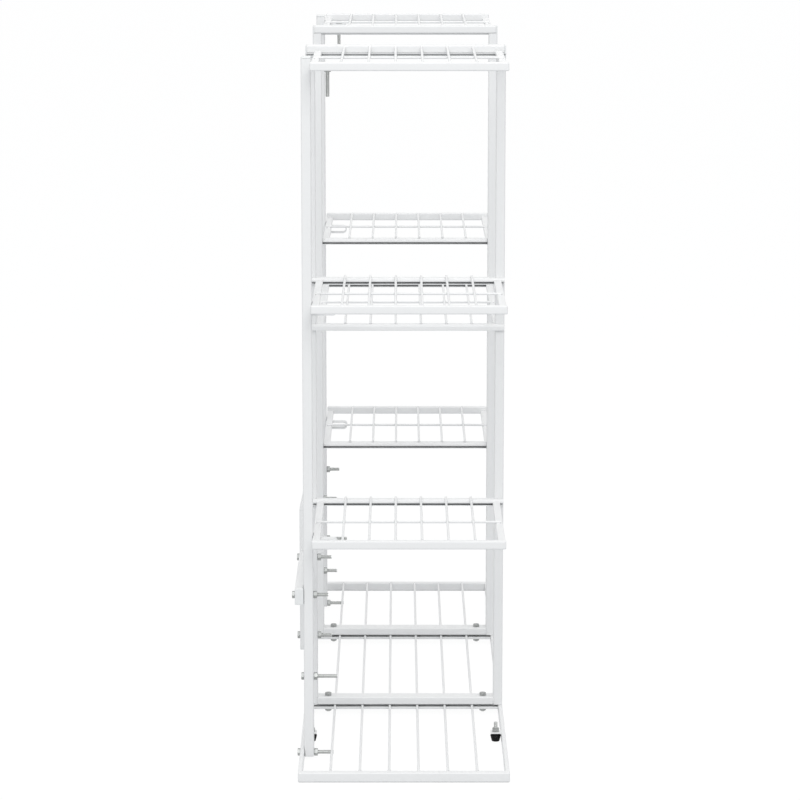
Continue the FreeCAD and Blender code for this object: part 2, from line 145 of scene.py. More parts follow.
# floor: half its side in metres, its drop below the feet, its paper and how much of it glows white
FLOOR_HALF = 40
FLOOR_DROP = 0.5 * MM
FLOOR_PAPER = "CACCCE"
FLOOR_GLOW_SHARE = 0.9
FLOOR_GLOW = 1.06
# light on the object from the room, and each lamp's name, watts, side and place in metres
WHITE = "FFFFFF"
ROOM_TINT = "FDFEFF"
ROOM_LIGHT = 0.71
LAMPS = (("key_light", 74, 2.6, (0, -3.6, 3)), ("top_light", 10, 1.6, (0, 0.2, 2.8)))
LAMP_AIM = Vector((0, -0.1, 0.6))
# camera of the photograph's view: millimetres, pixels, metres and degrees
SENSOR = 36
IMAGE_PIXELS = 800
FOCAL_PIXELS = 3209.85
CAMERA_PLACE = (-0.00198, -4.11031, 1.13775)
CAMERA_DIP = 10.5685
CAMERA_TURN = -0.0296
CAMERA_REACH = 200


# sizes and colours a user would change

def sized(name, description, value):
    """Size in the sidebar, written in millimetres."""
    return bpy.props.FloatProperty(name=name, description=description, default=value * MM, unit="LENGTH")


def colour(name, description, value):
    """Colour in the sidebar, written as an sRGB hex code."""
    return bpy.props.StringProperty(name=name, description=f"sRGB hex colour of {description}", default=value)


class PlantShelfSizes(bpy.types.PropertyGroup):
    """Sizes of the painted steel and of the caps"""
    wire: sized("Wire", "Diameter of the shelf and platform wires", 3)
    platform_wire_inset: sized("Platform wire inset", "From the platform's side to its first wire", 38.25)
    shelf_wire_inset: sized("Shelf wire inset", "From a shelf's side to its first wire", 36.25)
    platform_rail: sized("Platform side rail", "Width of the platform's side rails", 5)
    platform_end_rail: sized("Platform end rail", "Depth of the rail at each end of the platform", 10)
    strip: sized("Joint strip", "Height of the strip under the wires at a panel joint", 3)
    weld_sink: sized("Weld sink", "How far a wire is pressed into what it is welded to", 0.3)
    shelf_rail: sized("Shelf rail", "Width of the rails round a shelf", 9)
    tube_wall: sized("Tube wall", "Wall of the uprights and bars", 1.2)
    tube_corner: sized("Tube corner", "Outside radius of the tubes' corners", 1.8)
    rail_corner: sized("Rail corner", "Edge radius of the shelf and platform rails", 1.6)
    sheet: sized("Bar sheet", "Sheet round the slot of the shelf bars", 0.8)
    shelf_bar: sized("Shelf bar", "Height of a bar that carries shelves", 8.2)
    slot: sized("Slot", "Height of the slot in the shelf bars", 2.4)
    slot_depth: sized("Slot depth", "Depth of the slot in the shelf bars", 6)
    bar_nose: sized("Bar nose", "Radius of the rolled upper edge of the shelf bars", 3.8)
    cross_wire_inset: sized("Cross wire inset", "From a shelf's side to the end of its cross wire", 2.5)
    pinch: sized("Pinched end", "Length of the struts' ends that are pinched flat", 44)
    bracket: sized("Bracket", "Height of the folded brackets", 10.5)
    bracket_sheet: sized("Bracket sheet", "Strap of the folded brackets", 1.5)
    cap_flange: sized("Cap flange", "Thickness of a cap outside its tube", 2)
    cap_plug: sized("Cap plug", "Length of a cap inside its tube", 6)
    foot_tab: sized("Foot tab", "Thickness of the tabs that hold the feet", 1.5)
    foot_tab_reach: sized("Foot tab reach", "From the side rail to the free end of a foot's tab", 13)
    foot_tab_depth: sized("Foot tab depth", "Length of a foot's tab along the rail", 14)
    weld: sized("Weld bead", "Radius of the weld beads under the paint", 1.1)


class PlantShelfFasteners(bpy.types.PropertyGroup):
    """Sizes and places of the bolts and nuts"""
    thread: sized("Thread", "Outside diameter of the bolts' thread", 5)
    pitch: sized("Thread pitch", "Rise of one turn of the thread", 0.8)
    thread_depth: sized("Thread depth", "From the thread's crest to its root", 0.45)
    across_flats: sized("Across flats", "Width of the bolt heads and nuts", 8)
    head: sized("Head", "Height of a bolt head", 3.5)
    nut: sized("Nut", "Height of a nut", 4.5)
    thin_nut: sized("Thin nut", "Height of a nut under the platform", 4)
    post_bolt: sized("Post bolt", "Length of the bolts through posts and legs", 40)
    rail_bolt: sized("Rail bolt", "Height of the bolts through the platform's rail", 6)
    low_bolt: sized("Low bolt", "Height of the lower bolts through posts and legs", 101)
    high_bolt: sized("High bolt", "Height of the upper bolts through posts and legs", 202)
    platform_bolt_inset: sized("Foot bar bolt inset", "From a frame leg to the bolt through its foot bar", 13)


class PlantShelfFinishes(bpy.types.PropertyGroup):
    """Colours of the finishes"""
    paint: colour("Powder coat", "the paint on the steel", "F0F0F0")
    paint_shade: colour("Powder coat, thin", "the paint where it lies thin", "E8E9E9")
    # painted shade: the grey that the coat is darkened towards in slots, inner corners and wire contacts
    painted_recess_shade: colour("Primer", "the steel where the powder doesn't reach", "949698")
    zinc: colour("Bright zinc", "the threads of bolts and feet", "D6D7D6")
    zinc_shade: colour("Bright zinc, spangles", "the spangles on the threads", "BCBEBD")
    zinc_dull: colour("Dull zinc", "the nuts and bolt heads", "B0B2B1")
    zinc_dull_shade: colour("Dull zinc, spangles", "the spangles on the nuts and bolt heads", "949695")
    rubber: colour("Rubber", "the feet", "0A0A0B")
    rubber_shade: colour("Rubber, worn", "the scuffed rubber", "191A1B")
    plastic: colour("Caps", "the moulded caps", "EEEFEF")
    plastic_shade: colour("Caps, flow marks", "the flow marks in the caps", "E4E6E6")


# shapes: each adds a closed shell to a bmesh, in metres, in the frame of the CAD

def add_rings(bm, rings, caps=True):
    """Joins rings of points into a skin, closed by end faces, or into a loop where there are none."""
    rows = [[bm.verts.new(point) for point in ring] for ring in rings]
    pairs = list(zip(rows, rows[1:]))
    if caps:
        bm.faces.new(rows[0][::-1])
        bm.faces.new(rows[-1])
    else:
        pairs.append((rows[-1], rows[0]))
    for row, following in pairs:
        for index in range(len(row)):
            after = (index + 1) % len(row)
            bm.faces.new((row[index], row[after], following[after], following[index]))


def add_bar(bm, low, high, radius):
    """Solid bar between two corners, with rounded edges."""
    made = bmesh.ops.create_cube(bm, size=1)
    middle = (Vector(low) + Vector(high)) / 2
    size = Vector(high) - Vector(low)
    for vertex in made["verts"]:
        vertex.co = middle + vertex.co * size
    edges = list({edge for vertex in made["verts"] for edge in vertex.link_edges})
    bmesh.ops.bevel(bm, geom=edges, offset=min(radius, min(size) * EDGE_LIMIT), segments=EDGE_STEPS,
                    profile=0.5, affect="EDGES")


def add_nosed(bm, low, high, nose, edge):
    """Solid bar along X whose upper edge towards the near end is rolled over."""
    low = Vector(low)
    high = Vector(high)
    middle = (low + high) / 2
    size = high - low
    outline = [(low.y + edge, low.z), (high.y - edge, low.z), (high.y, low.z + edge),
               (high.y, high.z - edge), (high.y - edge, high.z)]
    for step in range(NOSE_STEPS + 1):
        turn = math.pi / 2 * (1 + step / NOSE_STEPS)
        outline.append((low.y + nose + nose * math.cos(turn), high.z - nose + nose * math.sin(turn)))
    outline.append((low.y, low.z + edge))
    rings = []
    for x, inset in ((low.x, edge), (low.x + edge, 0), (high.x - edge, 0), (high.x, edge)):
        share_y = 1 - 2 * inset / size.y
        share_z = 1 - 2 * inset / size.z
        rings.append([Vector((x, middle.y + (y - middle.y) * share_y, middle.z + (z - middle.z) * share_z))
                      for y, z in outline])
    add_rings(bm, rings)


def round_section(width, height, radius):
    """Points round a rectangle with rounded corners, about its middle."""
    points = []
    for corner, (side_u, side_v) in enumerate(((1, 1), (-1, 1), (-1, -1), (1, -1))):
        for step in range(CORNER_STEPS + 1):
            angle = math.pi / 2 * (corner + step / CORNER_STEPS)
            points.append((side_u * (width / 2 - radius) + radius * math.cos(angle),
                           side_v * (height / 2 - radius) + radius * math.sin(angle)))
    return points


def point_on(run, along, u, v):
    """Point at a distance along the axis numbered run, with its other two coordinates in order."""
    point = [u, v]
    point.insert(run, along)
    return Vector(point)


def add_tube(bm, sizes, low, high, run):
    """Rectangular tube between two corners, open at both ends along the axis numbered run."""
    wall = sizes.tube_wall
    radius = sizes.tube_corner
    lip = wall * LIP
    start = low[run]
    end = high[run]
    axis_u, axis_v = [axis for axis in (RUN_X, RUN_Y, RUN_Z) if axis != run]
    middle = (low + high) / 2
    size = high - low
    rings = []
    for along, inset in ((start + lip, 0), (end - lip, 0), (end, lip), (end, wall - lip), (end - lip, wall),
                         (start + lip, wall), (start, wall - lip), (start, lip)):
        section = round_section(size[axis_u] - 2 * inset, size[axis_v] - 2 * inset,
                                max(radius - inset, radius * INNER_CORNER))
        rings.append([point_on(run, along, middle[axis_u] + u, middle[axis_v] + v) for u, v in section])
    add_rings(bm, rings, caps=False)


def axes_of(direction):
    """A direction at unit length and two more square to it."""
    along = Vector(direction).normalized()
    steep = abs(along.z) >= 0.9
    side = ACROSS if steep else UP
    up = along.cross(side).normalized()
    return along, up.cross(along).normalized(), up


def turns_of(sides):
    """Angles spread evenly round a circle."""
    return [2 * math.pi * step / sides for step in range(sides)]


def point_round(start, axes, height, turn, radius):
    """Point at a height along the first axis, at an angle and a radius round it."""
    along, side, up = axes
    return Vector(start) + along * height + (side * math.cos(turn) + up * math.sin(turn)) * radius


def add_turned(bm, start, direction, profile, sides):
    """Solid of revolution; the profile is a list of radius and height along the direction."""
    axes = axes_of(direction)
    add_rings(bm, [[point_round(start, axes, height, turn, radius) for turn in turns_of(sides)]
                   for radius, height in profile])


def add_wire(bm, start, end, radius):
    """Cut length of wire with its ends broken by the paint."""
    run = Vector(end) - Vector(start)
    edge = radius * 0.3
    bevel = edge * 0.3
    length = run.length
    profile = ((radius - edge, 0), (radius - bevel, bevel), (radius, edge), (radius, length - edge),
               (radius - bevel, length - bevel), (radius - edge, length))
    add_turned(bm, start, run, profile, WIRE_SIDES)


def add_collar(bm, start, direction, radius, flare):
    """Fillet of weld and paint where a wire runs into a rail, sunk a little into the rail."""
    profile = [(radius + flare * swell, flare * rise) for swell, rise in COLLAR_SHARES]
    # the last ring closes the fillet inside the wire
    inside = radius * 0.9
    tip = flare * 1.05
    add_turned(bm, start, direction, [*profile, (inside, tip)], WIRE_SIDES)


def add_bead(bm, start, end, radius):
    """Run of weld with its ripples, tapered at both ends."""
    run = Vector(end) - Vector(start)
    count = max(BEAD_STEPS, int(run.length / (radius * RIPPLE_PITCH)))
    profile = []
    for step in range(count + 1):
        share = step / count
        taper = min(1, BEAD_TIP + BEAD_TAPER * min(share, 1 - share))
        ripple = 1 + RIPPLE * math.sin(step * RIPPLE_TURN)
        profile.append((radius * taper * ripple, run.length * share))
    add_turned(bm, start, run, profile, BEAD_SIDES)


def add_weld(bm, start, end, radius):
    """Bead along a seam that stops short of both its ends."""
    stop = (Vector(end) - Vector(start)).normalized() * WELD_STOP
    add_bead(bm, Vector(start) + stop, Vector(end) - stop, radius)


def bent_path(corners, radius, steps):
    """Polyline whose inner corners are rounded, as a folded strip's middle line."""
    corners = [Vector(corner) for corner in corners]
    points = corners[:1]
    for before, corner, after in zip(corners, corners[1:], corners[2:]):
        into = (before - corner).normalized()
        out = (after - corner).normalized()
        half = into.angle(out) / 2
        reach = radius / math.tan(half)
        centre = corner + (into + out).normalized() * (radius / math.sin(half))
        first = corner + into * reach - centre
        last = corner + out * reach - centre
        turn = first.angle(last)
        for step in range(steps + 1):
            share = step / steps
            spoke = first * math.sin((1 - share) * turn) + last * math.sin(share * turn)
            point = centre + spoke / math.sin(turn)
            if (point - points[-1]).length > SAME_POINT:
                points.append(point)
    return points + corners[-1:]


def add_strip(bm, path, thickness, run, start, end):
    """Folded sheet: the path, in the plane square to the axis numbered run, thickened and drawn out."""
    rows = []
    for side in (1, -1):
        row = []
        for index, point in enumerate(path):
            before = path[max(index - 1, 0)]
            after = path[min(index + 1, len(path) - 1)]
            slope = (after - before).normalized()
            row.append(point + Vector((-slope.y, slope.x)) * (side * thickness / 2))
        rows.append(row)
    outline = rows[0] + rows[1][::-1]
    count = len(outline)
    near, far = [[bm.verts.new(point_on(run, along, flat.x, flat.y)) for flat in outline]
                 for along in (start, end)]
    for index in range(count):
        after = (index + 1) % count
        bm.faces.new((near[index], near[after], far[after], far[index]))
    for row in (near, far):
        for index in range(len(path) - 1):
            bm.faces.new((row[index], row[index + 1], row[count - 2 - index], row[count - 1 - index]))


def add_thread(bm, sizes, start, direction, length):
    """Screw with a true helix: rows of crest and root that climb one pitch in a turn."""
    axes = axes_of(direction)
    depth = sizes.thread_depth
    pitch = sizes.pitch
    crest = sizes.thread / 2
    root = crest - depth
    tip = 0.6 * pitch
    # rows lie half a pitch apart, from a pitch below the start, and are cut flat at both ends
    rows = int(2 * length / pitch) + 3
    grid = []
    for row in range(rows):
        line = []
        for step, turn in enumerate(turns_of(THREAD_SIDES)):
            height = pitch * (row / 2 - 1 + step / THREAD_SIDES)
            radius = crest if row % 2 else root
            radius = min(radius, root + max(0, length - height) / tip * depth)
            height = min(max(height, 0), length)
            line.append(bm.verts.new(point_round(start, axes, height, turn, radius)))
        grid.append(line)
    for row in range(rows - 1):
        for step in range(THREAD_SIDES - 1):
            bm.faces.new((grid[row][step], grid[row][step + 1], grid[row + 1][step + 1], grid[row + 1][step]))
        if row + 3 < rows:
            bm.faces.new((grid[row][-1], grid[row + 2][0], grid[row + 3][0], grid[row + 1][-1]))
    bm.faces.new(grid[0] + [grid[2][0], grid[1][0]])
    bm.faces.new(grid[-1] + [grid[-2][-1], grid[-3][-1]])


def add_hexagon(bm, sizes, start, direction, height, bore=0.0):
    """Bolt head or nut whose corners are turned off on both faces."""
    axes = axes_of(direction)
    face = sizes.across_flats * HEAD_FACE
    slope = math.tan(math.radians(HEAD_SLOPE))
    turns = turns_of(HEAD_SIDES)
    flat = math.pi / 3
    reach = [sizes.across_flats / 2 / math.cos((turn + flat / 2) % flat - flat / 2) for turn in turns]
    rows = [[(face, 0)] * HEAD_SIDES,
            [(radius, (radius - face) * slope) for radius in reach],
            [(radius, height - (radius - face) * slope) for radius in reach],
            [(face, height)] * HEAD_SIDES]
    if bore:
        inner = bore / 2
        rows += [[point] * HEAD_SIDES for point in ((inner + BORE_EDGE, height), (inner, height - BORE_EDGE),
                                                    (inner, BORE_EDGE), (inner + BORE_EDGE, 0))]
    add_rings(bm, [[point_round(start, axes, rise, turn, radius) for turn, (radius, rise) in zip(turns, row)]
                   for row in rows], caps=not bore)


def add_bolt(bm, sizes, start, direction, length):
    """Bolt whose head lies behind its start; the head's faces take the second finish."""
    known = len(bm.faces)
    add_hexagon(bm, sizes, Vector(start) - direction * sizes.head, direction, sizes.head)
    bm.faces.ensure_lookup_table()
    for face in bm.faces[known:]:
        face.material_index = 1
    add_thread(bm, sizes, Vector(start) - direction * HEAD_HOLD, direction, length + HEAD_HOLD)


def set_down(context, node, stuff, bm, *builds, body="stand"):
    """Turns a bmesh into the piece that stands for a CAD node and rides on a body."""
    name = f"{node}_{stuff}"
    threaded = stuff == "zinc"
    if threaded:
        bmesh.ops.remove_doubles(bm, verts=bm.verts, dist=SAME_THREAD_POINT)
        bmesh.ops.dissolve_degenerate(bm, edges=bm.edges, dist=FLAT_THREAD_EDGE)
    bmesh.ops.recalc_face_normals(bm, faces=bm.faces)
    mesh = bpy.data.meshes.new(name)
    bm.to_mesh(mesh)
    bm.free()
    mesh.shade_smooth()
    mesh.set_sharp_from_angle(angle=math.radians(SHARP_THREAD_TURN if threaded else SHARP_TURN))
    for build in builds:
        mesh.materials.append(finish(context, build))
    piece = bpy.data.objects.new(name, mesh)
    context.scene.collection.objects.link(piece)
    normals = piece.modifiers.new("even_faces", "WEIGHTED_NORMAL")
    normals.keep_sharp = True
    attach(piece, body)
    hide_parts(node)


# finishes

def linear(code):
    """Linear colour of an sRGB hex code."""
    shares = [int(code[place:place + 2], 16) / 255 for place in (0, 2, 4)]
    return [share / 12.92 if share <= 0.04045 else ((share + 0.055) / 1.055) ** 2.4 for share in shares] + [1]


def add_node(tree, kind, inputs=None, **settings):
    """Adds a node; an input is a value, or a pair of the node and the output that it is linked to."""
    node = tree.nodes.new(kind)
    for key, value in settings.items():
        setattr(node, key, value)
    for key, value in (inputs or {}).items():
        if isinstance(value, tuple):
            source, output = value
            tree.links.new(source.outputs[output], node.inputs[key])
        else:
            node.inputs[key].default_value = value
    return node


def empty_tree(owner):
    """Node tree of a material or world, with nothing in it."""
    owner.use_nodes = True
    owner.node_tree.nodes.clear()
    return owner.node_tree


def finish(context, build):
    """Material that a function builds, made once and named as the function is."""
    material = bpy.data.materials.get(build.__name__)
    if material is None:
        material = bpy.data.materials.new(build.__name__)
        tree = empty_tree(material)
        place = (add_node(tree, "ShaderNodeTexCoord"), "Object")
        inputs = build(context.scene.plant_shelf_finishes, tree, place)
        shader = add_node(tree, "ShaderNodeBsdfPrincipled", inputs)
        add_node(tree, "ShaderNodeOutputMaterial", {"Surface": (shader, "BSDF")})
    return material


def powder_coated_steel(colours, tree, place):
    """Polyester powder coat on steel: satin white with a faint orange peel, thinner on edges, and painted
    shade in its slots and corners.
    """
    # the peel is about 0.7 mm on such a coat; it is drawn at 2.5 mm so that it shows
    peel = add_node(tree, "ShaderNodeTexNoise", {"Vector": place, "Scale": 1 / (2.5 * MM), "Detail": 2.0})
    cloud = add_node(tree, "ShaderNodeTexNoise", {"Vector": place, "Scale": 1 / (60 * MM), "Detail": 3.0})
    edge = add_node(tree, "ShaderNodeNewGeometry")
    thin = add_node(tree, "ShaderNodeMapRange", {"Value": (edge, "Pointiness"), "From Min": 0.5,
                                                 "From Max": 0.62, "To Min": 0.0, "To Max": 0.45})
    share = add_node(tree, "ShaderNodeMath", {0: (cloud, "Fac"), 1: 0.35, 2: (thin, "Result")},
                     operation="MULTIPLY_ADD")
    paint = add_node(tree, "ShaderNodeMix", {0: (share, "Value"), 6: linear(colours.paint),
                                             7: linear(colours.paint_shade)}, data_type="RGBA")
    # painted shade: where other surfaces lie within 6 mm, as in slots of a few millimetres, inner corners and
    # where wires touch bars, the coat is darkened towards a grey that stands in for the shade there
    reach = add_node(tree, "ShaderNodeAmbientOcclusion", {"Distance": 6 * MM}, samples=6)
    painted_shade_share = add_node(tree, "ShaderNodeMapRange", {"Value": (reach, "AO"), "From Min": 0.12, "From Max": 0.42,
                                                 "To Min": 1.0, "To Max": 0.0})
    # the coat is the paint with the painted shade laid into its recesses
    coat = add_node(tree, "ShaderNodeMix", {0: (painted_shade_share, "Result"), 6: (paint, 2), 7: linear(colours.painted_recess_shade)},
                    data_type="RGBA")
    gloss = add_node(tree, "ShaderNodeMapRange", {"Value": (cloud, "Fac"), "To Min": 0.34, "To Max": 0.46})
    bump = add_node(tree, "ShaderNodeBump",
                    {"Height": (peel, "Fac"), "Strength": 0.12, "Distance": 0.05 * MM})
    return {"Base Color": (coat, 2), "Roughness": (gloss, "Result"), "Normal": (bump, "Normal"), "IOR": 1.5}


def zinc_plate(tree, place, pale, shade, smooth, rough):
    """Zinc on rolled steel: grey metal with fine spangles."""
    spangle = add_node(tree, "ShaderNodeTexVoronoi", {"Vector": place, "Scale": 1 / (1.6 * MM)})
    film = add_node(tree, "ShaderNodeTexNoise", {"Vector": place, "Scale": 1 / (4 * MM), "Detail": 4.0})
    share = add_node(tree, "ShaderNodeMath", {0: (spangle, "Distance"), 1: (film, "Fac")},
                     operation="MULTIPLY")
    mix = add_node(tree, "ShaderNodeMix", {0: (share, "Value"), 6: linear(pale), 7: linear(shade)},
                   data_type="RGBA")
    gloss = add_node(tree, "ShaderNodeMapRange", {"Value": (film, "Fac"), "To Min": smooth, "To Max": rough})
    return {"Base Color": (mix, 2), "Roughness": (gloss, "Result"), "Metallic": 1.0}


def bright_zinc_steel(colours, tree, place):
    """Zinc on rolled threads, which gleams."""
    return zinc_plate(tree, place, colours.zinc, colours.zinc_shade, 0.26, 0.44)


def dull_zinc_steel(colours, tree, place):
    """Zinc on pressed nuts and heads, greyer and with a softer sheen."""
    return zinc_plate(tree, place, colours.zinc_dull, colours.zinc_dull_shade, 0.42, 0.58)


def moulded_rubber(colours, tree, place):
    """Black rubber from a sandblasted mould: matt grain with pale scuffs."""
    # a blasted mould's grain is about 0.1 mm; it is drawn at 0.6 mm so that it shows
    grain = add_node(tree, "ShaderNodeTexNoise", {"Vector": place, "Scale": 1 / (0.6 * MM), "Detail": 3.0})
    scuff = add_node(tree, "ShaderNodeTexNoise", {"Vector": place, "Scale": 1 / (5 * MM), "Detail": 5.0,
                                                  "Roughness": 0.7})
    worn = add_node(tree, "ShaderNodeMapRange", {"Value": (scuff, "Fac"), "From Min": 0.48, "From Max": 0.75})
    mix = add_node(tree, "ShaderNodeMix", {0: (worn, "Result"), 6: linear(colours.rubber),
                                           7: linear(colours.rubber_shade)}, data_type="RGBA")
    gloss = add_node(tree, "ShaderNodeMapRange", {"Value": (scuff, "Fac"), "To Min": 0.45, "To Max": 0.7})
    bump = add_node(tree, "ShaderNodeBump",
                    {"Height": (grain, "Fac"), "Strength": 0.25, "Distance": 0.08 * MM})
    # the blasted grain traps light, so little of the white room shows in the black
    return {"Base Color": (mix, 2), "Roughness": (gloss, "Result"), "Normal": (bump, "Normal"),
            "IOR": 1.52, "Specular IOR Level": 0.15}


def moulded_polyethylene(colours, tree, place):
    """White polyethylene plug: waxy, with soft flow marks from its gate."""
    flow = add_node(tree, "ShaderNodeTexNoise", {"Vector": place, "Scale": 1 / (6 * MM), "Detail": 2.0,
                                                 "Distortion": 1.5})
    mix = add_node(tree, "ShaderNodeMix", {0: (flow, "Fac"), 6: linear(colours.plastic),
                                           7: linear(colours.plastic_shade)}, data_type="RGBA")
    gloss = add_node(tree, "ShaderNodeMapRange", {"Value": (flow, "Fac"), "To Min": 0.45, "To Max": 0.6})
    bump = add_node(tree, "ShaderNodeBump",
                    {"Height": (flow, "Fac"), "Strength": 0.15, "Distance": 0.05 * MM})
    return {"Base Color": (mix, 2), "Roughness": (gloss, "Result"), "Normal": (bump, "Normal"), "IOR": 1.51}


def shown_white(tree):
    """Value that is 1 where the studio is seen: by the camera, in metal or through glass."""
    ray = add_node(tree, "ShaderNodeLightPath")
    seen = add_node(tree, "ShaderNodeMath", {0: (ray, "Is Camera Ray"), 1: (ray, "Is Glossy Ray")},
                    operation="MAXIMUM")
    shown = add_node(tree, "ShaderNodeMath", {0: (seen, "Value"), 1: (ray, "Is Transmission Ray")},
                     operation="MAXIMUM")
    return shown, "Value"


# places that several operators share

def middle_of(node):
    """Middle of a CAD node's box."""
    low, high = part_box(node)
    return (low + high) / 2


def wire_places(low, high, inset):
    """Distances across a panel or shelf at which its wires lie."""
    step = (high - low - 2 * inset) / (WIRES - 1)
    return [low + inset + number * step for number in range(WIRES)]


def frame_span(end):
    """Where a frame starts and ends along the stand."""
    low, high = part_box(f"frame_{end}_back_leg")
    return low.y, high.y


def post_bolts(context):
    """Places of the bolts through posts and frame legs, at the seats of their heads."""
    sizes = context.scene.plant_shelf_fasteners
    places = []
    for end in ENDS:
        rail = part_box(f"platform_{end}")[0].x
        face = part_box(f"post_{end}")[0].x
        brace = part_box(f"back_strut_{end}")[0].x
        post = middle_of(f"post_{end}").y
        leg = middle_of(f"frame_{end}_back_leg").y
        places += [(rail, post, sizes.rail_bolt), (face, post, sizes.low_bolt),
                   (brace, post, sizes.high_bolt),
                   (brace, leg, sizes.low_bolt), (brace, leg, sizes.high_bolt)]
    return places


def foot_bar_bolts(context):
    """Places of the bolts through the foot bars, from above."""
    inset = context.scene.plant_shelf_fasteners.platform_bolt_inset
    places = []
    for end in ENDS:
        low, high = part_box(f"frame_{end}_foot_bar")
        leg = middle_of(f"frame_{end}_back_leg").y
        places += [(low.x + inset, leg), (high.x - inset, leg)]
    return places


def bracket_bolts():
    """Places of the bolts through the top brackets, from above."""
    return [(middle_of("bracket_bolts").x, middle_of(f"post_{end}").y) for end in ENDS]


# groups of shapes that make a piece

def add_rails(bm, sizes, node, span, depth, width, side_top, edge):
    """Rail at the free end of a panel or shelf, and its side rails; gives where the wires start and end."""
    low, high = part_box(node)
    side_start, side_end = span
    wire_start = low.y
    wire_end = high.y
    if "near" in node:
        wire_start += depth
        side_start = wire_start - sizes.rail_corner
        add_bar(bm, low, (high.x, wire_start, high.z), sizes.rail_corner)
    if "far" in node:
        wire_end -= depth
        side_end = wire_end + sizes.rail_corner
        add_bar(bm, (low.x, wire_end, low.z), high, sizes.rail_corner)
    for x in (low.x, high.x - width):
        add_bar(bm, (x, side_start, low.z), (x + width, side_end, side_top), sizes.rail_corner * edge)
    return wire_start, wire_end


def add_panel(bm, sizes, node):
    """Platform panel: rails, strips at its joints, and the wires welded to them."""
    low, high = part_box(node)
    wire_start, wire_end = add_rails(bm, sizes, node, (low.y, high.y), sizes.platform_end_rail,
                                     sizes.platform_rail, high.z, PANEL_EDGE)
    radius = sizes.wire / 2
    height = high.z - radius
    strip_top = high.z - sizes.wire + sizes.weld_sink
    strip_inset = sizes.platform_rail / 2
    frame_start, frame_end = frame_span("near")
    strip_depth = (frame_end - frame_start) / 2
    bead = sizes.weld * FINE_WELD
    last = wire_end + HOLD if "far" in node else wire_end
    joints = [(low.y, strip_depth), (high.y, -strip_depth)]
    if "near" in node:
        joints = joints[1:]
    if "far" in node:
        joints = joints[:1]
    for joint, inward in joints:
        y0, y1 = sorted((joint, joint + inward))
        add_bar(bm, (low.x + strip_inset, y0, strip_top - sizes.strip), (high.x - strip_inset, y1, strip_top),
                sizes.rail_corner * STRIP_EDGE)
    for x in wire_places(low.x, high.x, sizes.platform_wire_inset):
        add_wire(bm, (x, wire_start - HOLD, height), (x, last, height), radius)
        if "near" in node:
            add_collar(bm, (x, wire_start, height), AWAY, radius, sizes.weld)
        if "far" in node:
            add_collar(bm, (x, wire_end, height), -AWAY, radius, sizes.weld)
        for joint, inward in joints:
            near_joint = joint + inward * STRIP_GAP
            for flank in (x - radius * STRIP_FLANK, x + radius * STRIP_FLANK):
                add_bead(bm, (flank, near_joint, strip_top), (flank, joint + inward, strip_top), bead)


def add_foot_tabs(bm, sizes, low, high):
    """Tabs on the side rails that hold the feet."""
    bottom = high.z - sizes.foot_tab
    half = sizes.foot_tab_depth / 2
    rails = (low.x + sizes.platform_rail, high.x - sizes.platform_rail)
    for side, rail, inward in zip(SIDES, rails, (1, -1)):
        y = middle_of(f"foot_{side}_pad").y
        x0, x1 = sorted((rail - inward * HOLD, rail + inward * sizes.foot_tab_reach))
        add_bar(bm, (x0, y - half, bottom), (x1, y + half, high.z), TAB_EDGE)
        add_bead(bm, (rail, y - half, bottom), (rail, y + half, bottom), sizes.weld * TAB_WELD)


def add_shelf(bm, sizes, node):
    """Wire shelf: rails, a cross wire on the side rails, and the long wires on it."""
    low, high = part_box(node)
    rail = sizes.shelf_rail
    radius = sizes.wire / 2
    height = high.z - radius
    under = height - sizes.wire + sizes.weld_sink
    side_top = under - radius + sizes.weld_sink
    start = frame_span("near")[1]
    end = frame_span("far")[0]
    if "near" in node:
        start = low.y
        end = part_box("frame_near_shelf_bars")[0].y
    if "far" in node:
        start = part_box("frame_far_shelf_bars")[1].y
        end = high.y
    wire_start, wire_end = add_rails(bm, sizes, node, (start, end), rail, rail, side_top, SHELF_EDGE)
    first = wire_start - HOLD if "near" in node else wire_start
    last = wire_end + HOLD if "far" in node else wire_end
    middle = (start + end) / 2
    crossing = height - radius
    inset = sizes.cross_wire_inset
    bead = sizes.weld * FINE_WELD
    add_wire(bm, (low.x + inset, middle, under), (high.x - inset, middle, under), radius)
    for x0, x1 in ((low.x + inset, low.x + rail), (high.x - rail, high.x - inset)):
        for y in (middle - radius * RAIL_FLANK, middle + radius * RAIL_FLANK):
            add_weld(bm, (x0, y, side_top), (x1, y, side_top), bead)
    for x in wire_places(low.x, high.x, sizes.shelf_wire_inset):
        add_wire(bm, (x, first, height), (x, last, height), radius)
        if "near" in node or "top" in node:
            add_collar(bm, (x, wire_start, height), AWAY, radius, sizes.weld * SHELF_WELD)
        if "far" in node or "top" in node:
            add_collar(bm, (x, wire_end, height), -AWAY, radius, sizes.weld * SHELF_WELD)
        for flank in (x - radius * WIRE_FLANK, x + radius * WIRE_FLANK):
            add_bead(bm, (flank, middle - radius, crossing), (flank, middle + radius, crossing), bead)


def add_slotted(bm, sizes, xs, ys, slot, top, nosed):
    """Stretch of a shelf bar with the part of the slot that lies in it."""
    bottom = top - sizes.shelf_bar
    slot_low = bottom + sizes.sheet
    slot_high = slot_low + sizes.slot
    cut_low = max(ys[0], slot[0])
    cut_high = min(ys[1], slot[1])
    edge = sizes.sheet * EDGE_LIMIT
    nose = sizes.bar_nose if nosed else edge
    if cut_high <= cut_low:
        add_nosed(bm, (xs[0], ys[0], bottom), (xs[1], ys[1], top), nose, edge)
        return
    add_nosed(bm, (xs[0], ys[0], slot_high), (xs[1], ys[1], top), nose, edge)
    add_bar(bm, (xs[0], ys[0], bottom), (xs[1], ys[1], slot_low), edge)
    for y0, y1 in ((ys[0], cut_low), (cut_high, ys[1])):
        if y1 - y0 > edge:
            add_bar(bm, (xs[0], y0, bottom + edge), (xs[1], y1, top - edge), edge)


